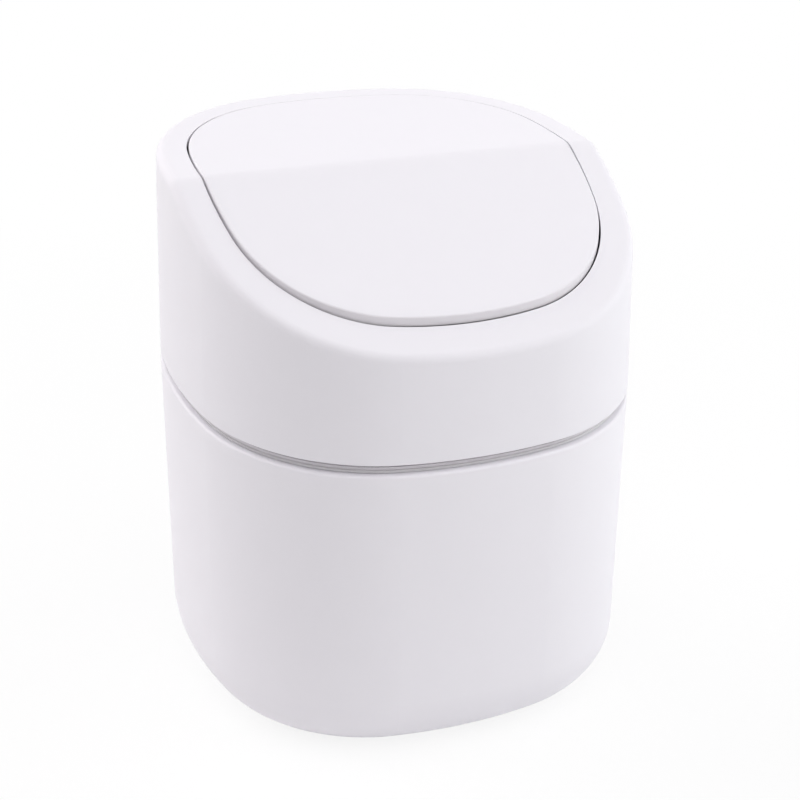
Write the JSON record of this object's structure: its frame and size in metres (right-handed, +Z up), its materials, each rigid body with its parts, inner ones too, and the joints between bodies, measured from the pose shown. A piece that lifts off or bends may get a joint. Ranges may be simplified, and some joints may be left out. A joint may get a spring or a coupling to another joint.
{
  "type": "countertop trash can",
  "caption": "Small rounded-square countertop trash can: a bucket, a bag ring and a lift-off cover whose bent lid swings both ways on side pivots.",
  "frame": {"origin": "centre of the footprint, on the surface that the can stands on", "axes": "+Z up, +X along the swing lid's pivot, -Y towards the low front edge of the sloped top"},
  "size_m": [0.13, 0.1301, 0.16],
  "materials": {
    "white_plastic": "fine matt texture",
    "steel": "bright drawn bar"
  },
  "bodies": {
    "bucket": {"bucket": "white_plastic"},
    "bag_ring": {"bag_ring": "white_plastic"},
    "cover": {"cover": "white_plastic", "left_pivot_clip": "white_plastic", "right_pivot_clip": "white_plastic"},
    "lid": {"lid": "white_plastic", "lid_liner": "white_plastic", "counterweight": "steel", "left_pivot_pin": "steel", "right_pivot_pin": "steel"}
  },
  "joints": [
    {"name": "bag_ring_lift", "type": "slide", "parent": "bucket", "child": "bag_ring", "axis": [0, 0, 1], "range_m": [0, 0.05]},
    {"name": "cover_lift", "type": "slide", "parent": "bag_ring", "child": "cover", "axis": [0, 0, 1], "range_m": [0, 0.06]},
    {"name": "lid_swing", "type": "hinge", "parent": "cover", "child": "lid", "pos_m": [0, 0, 0.1487], "axis": [1, 0, 0], "range_deg": [-60, 60]}
  ]
}
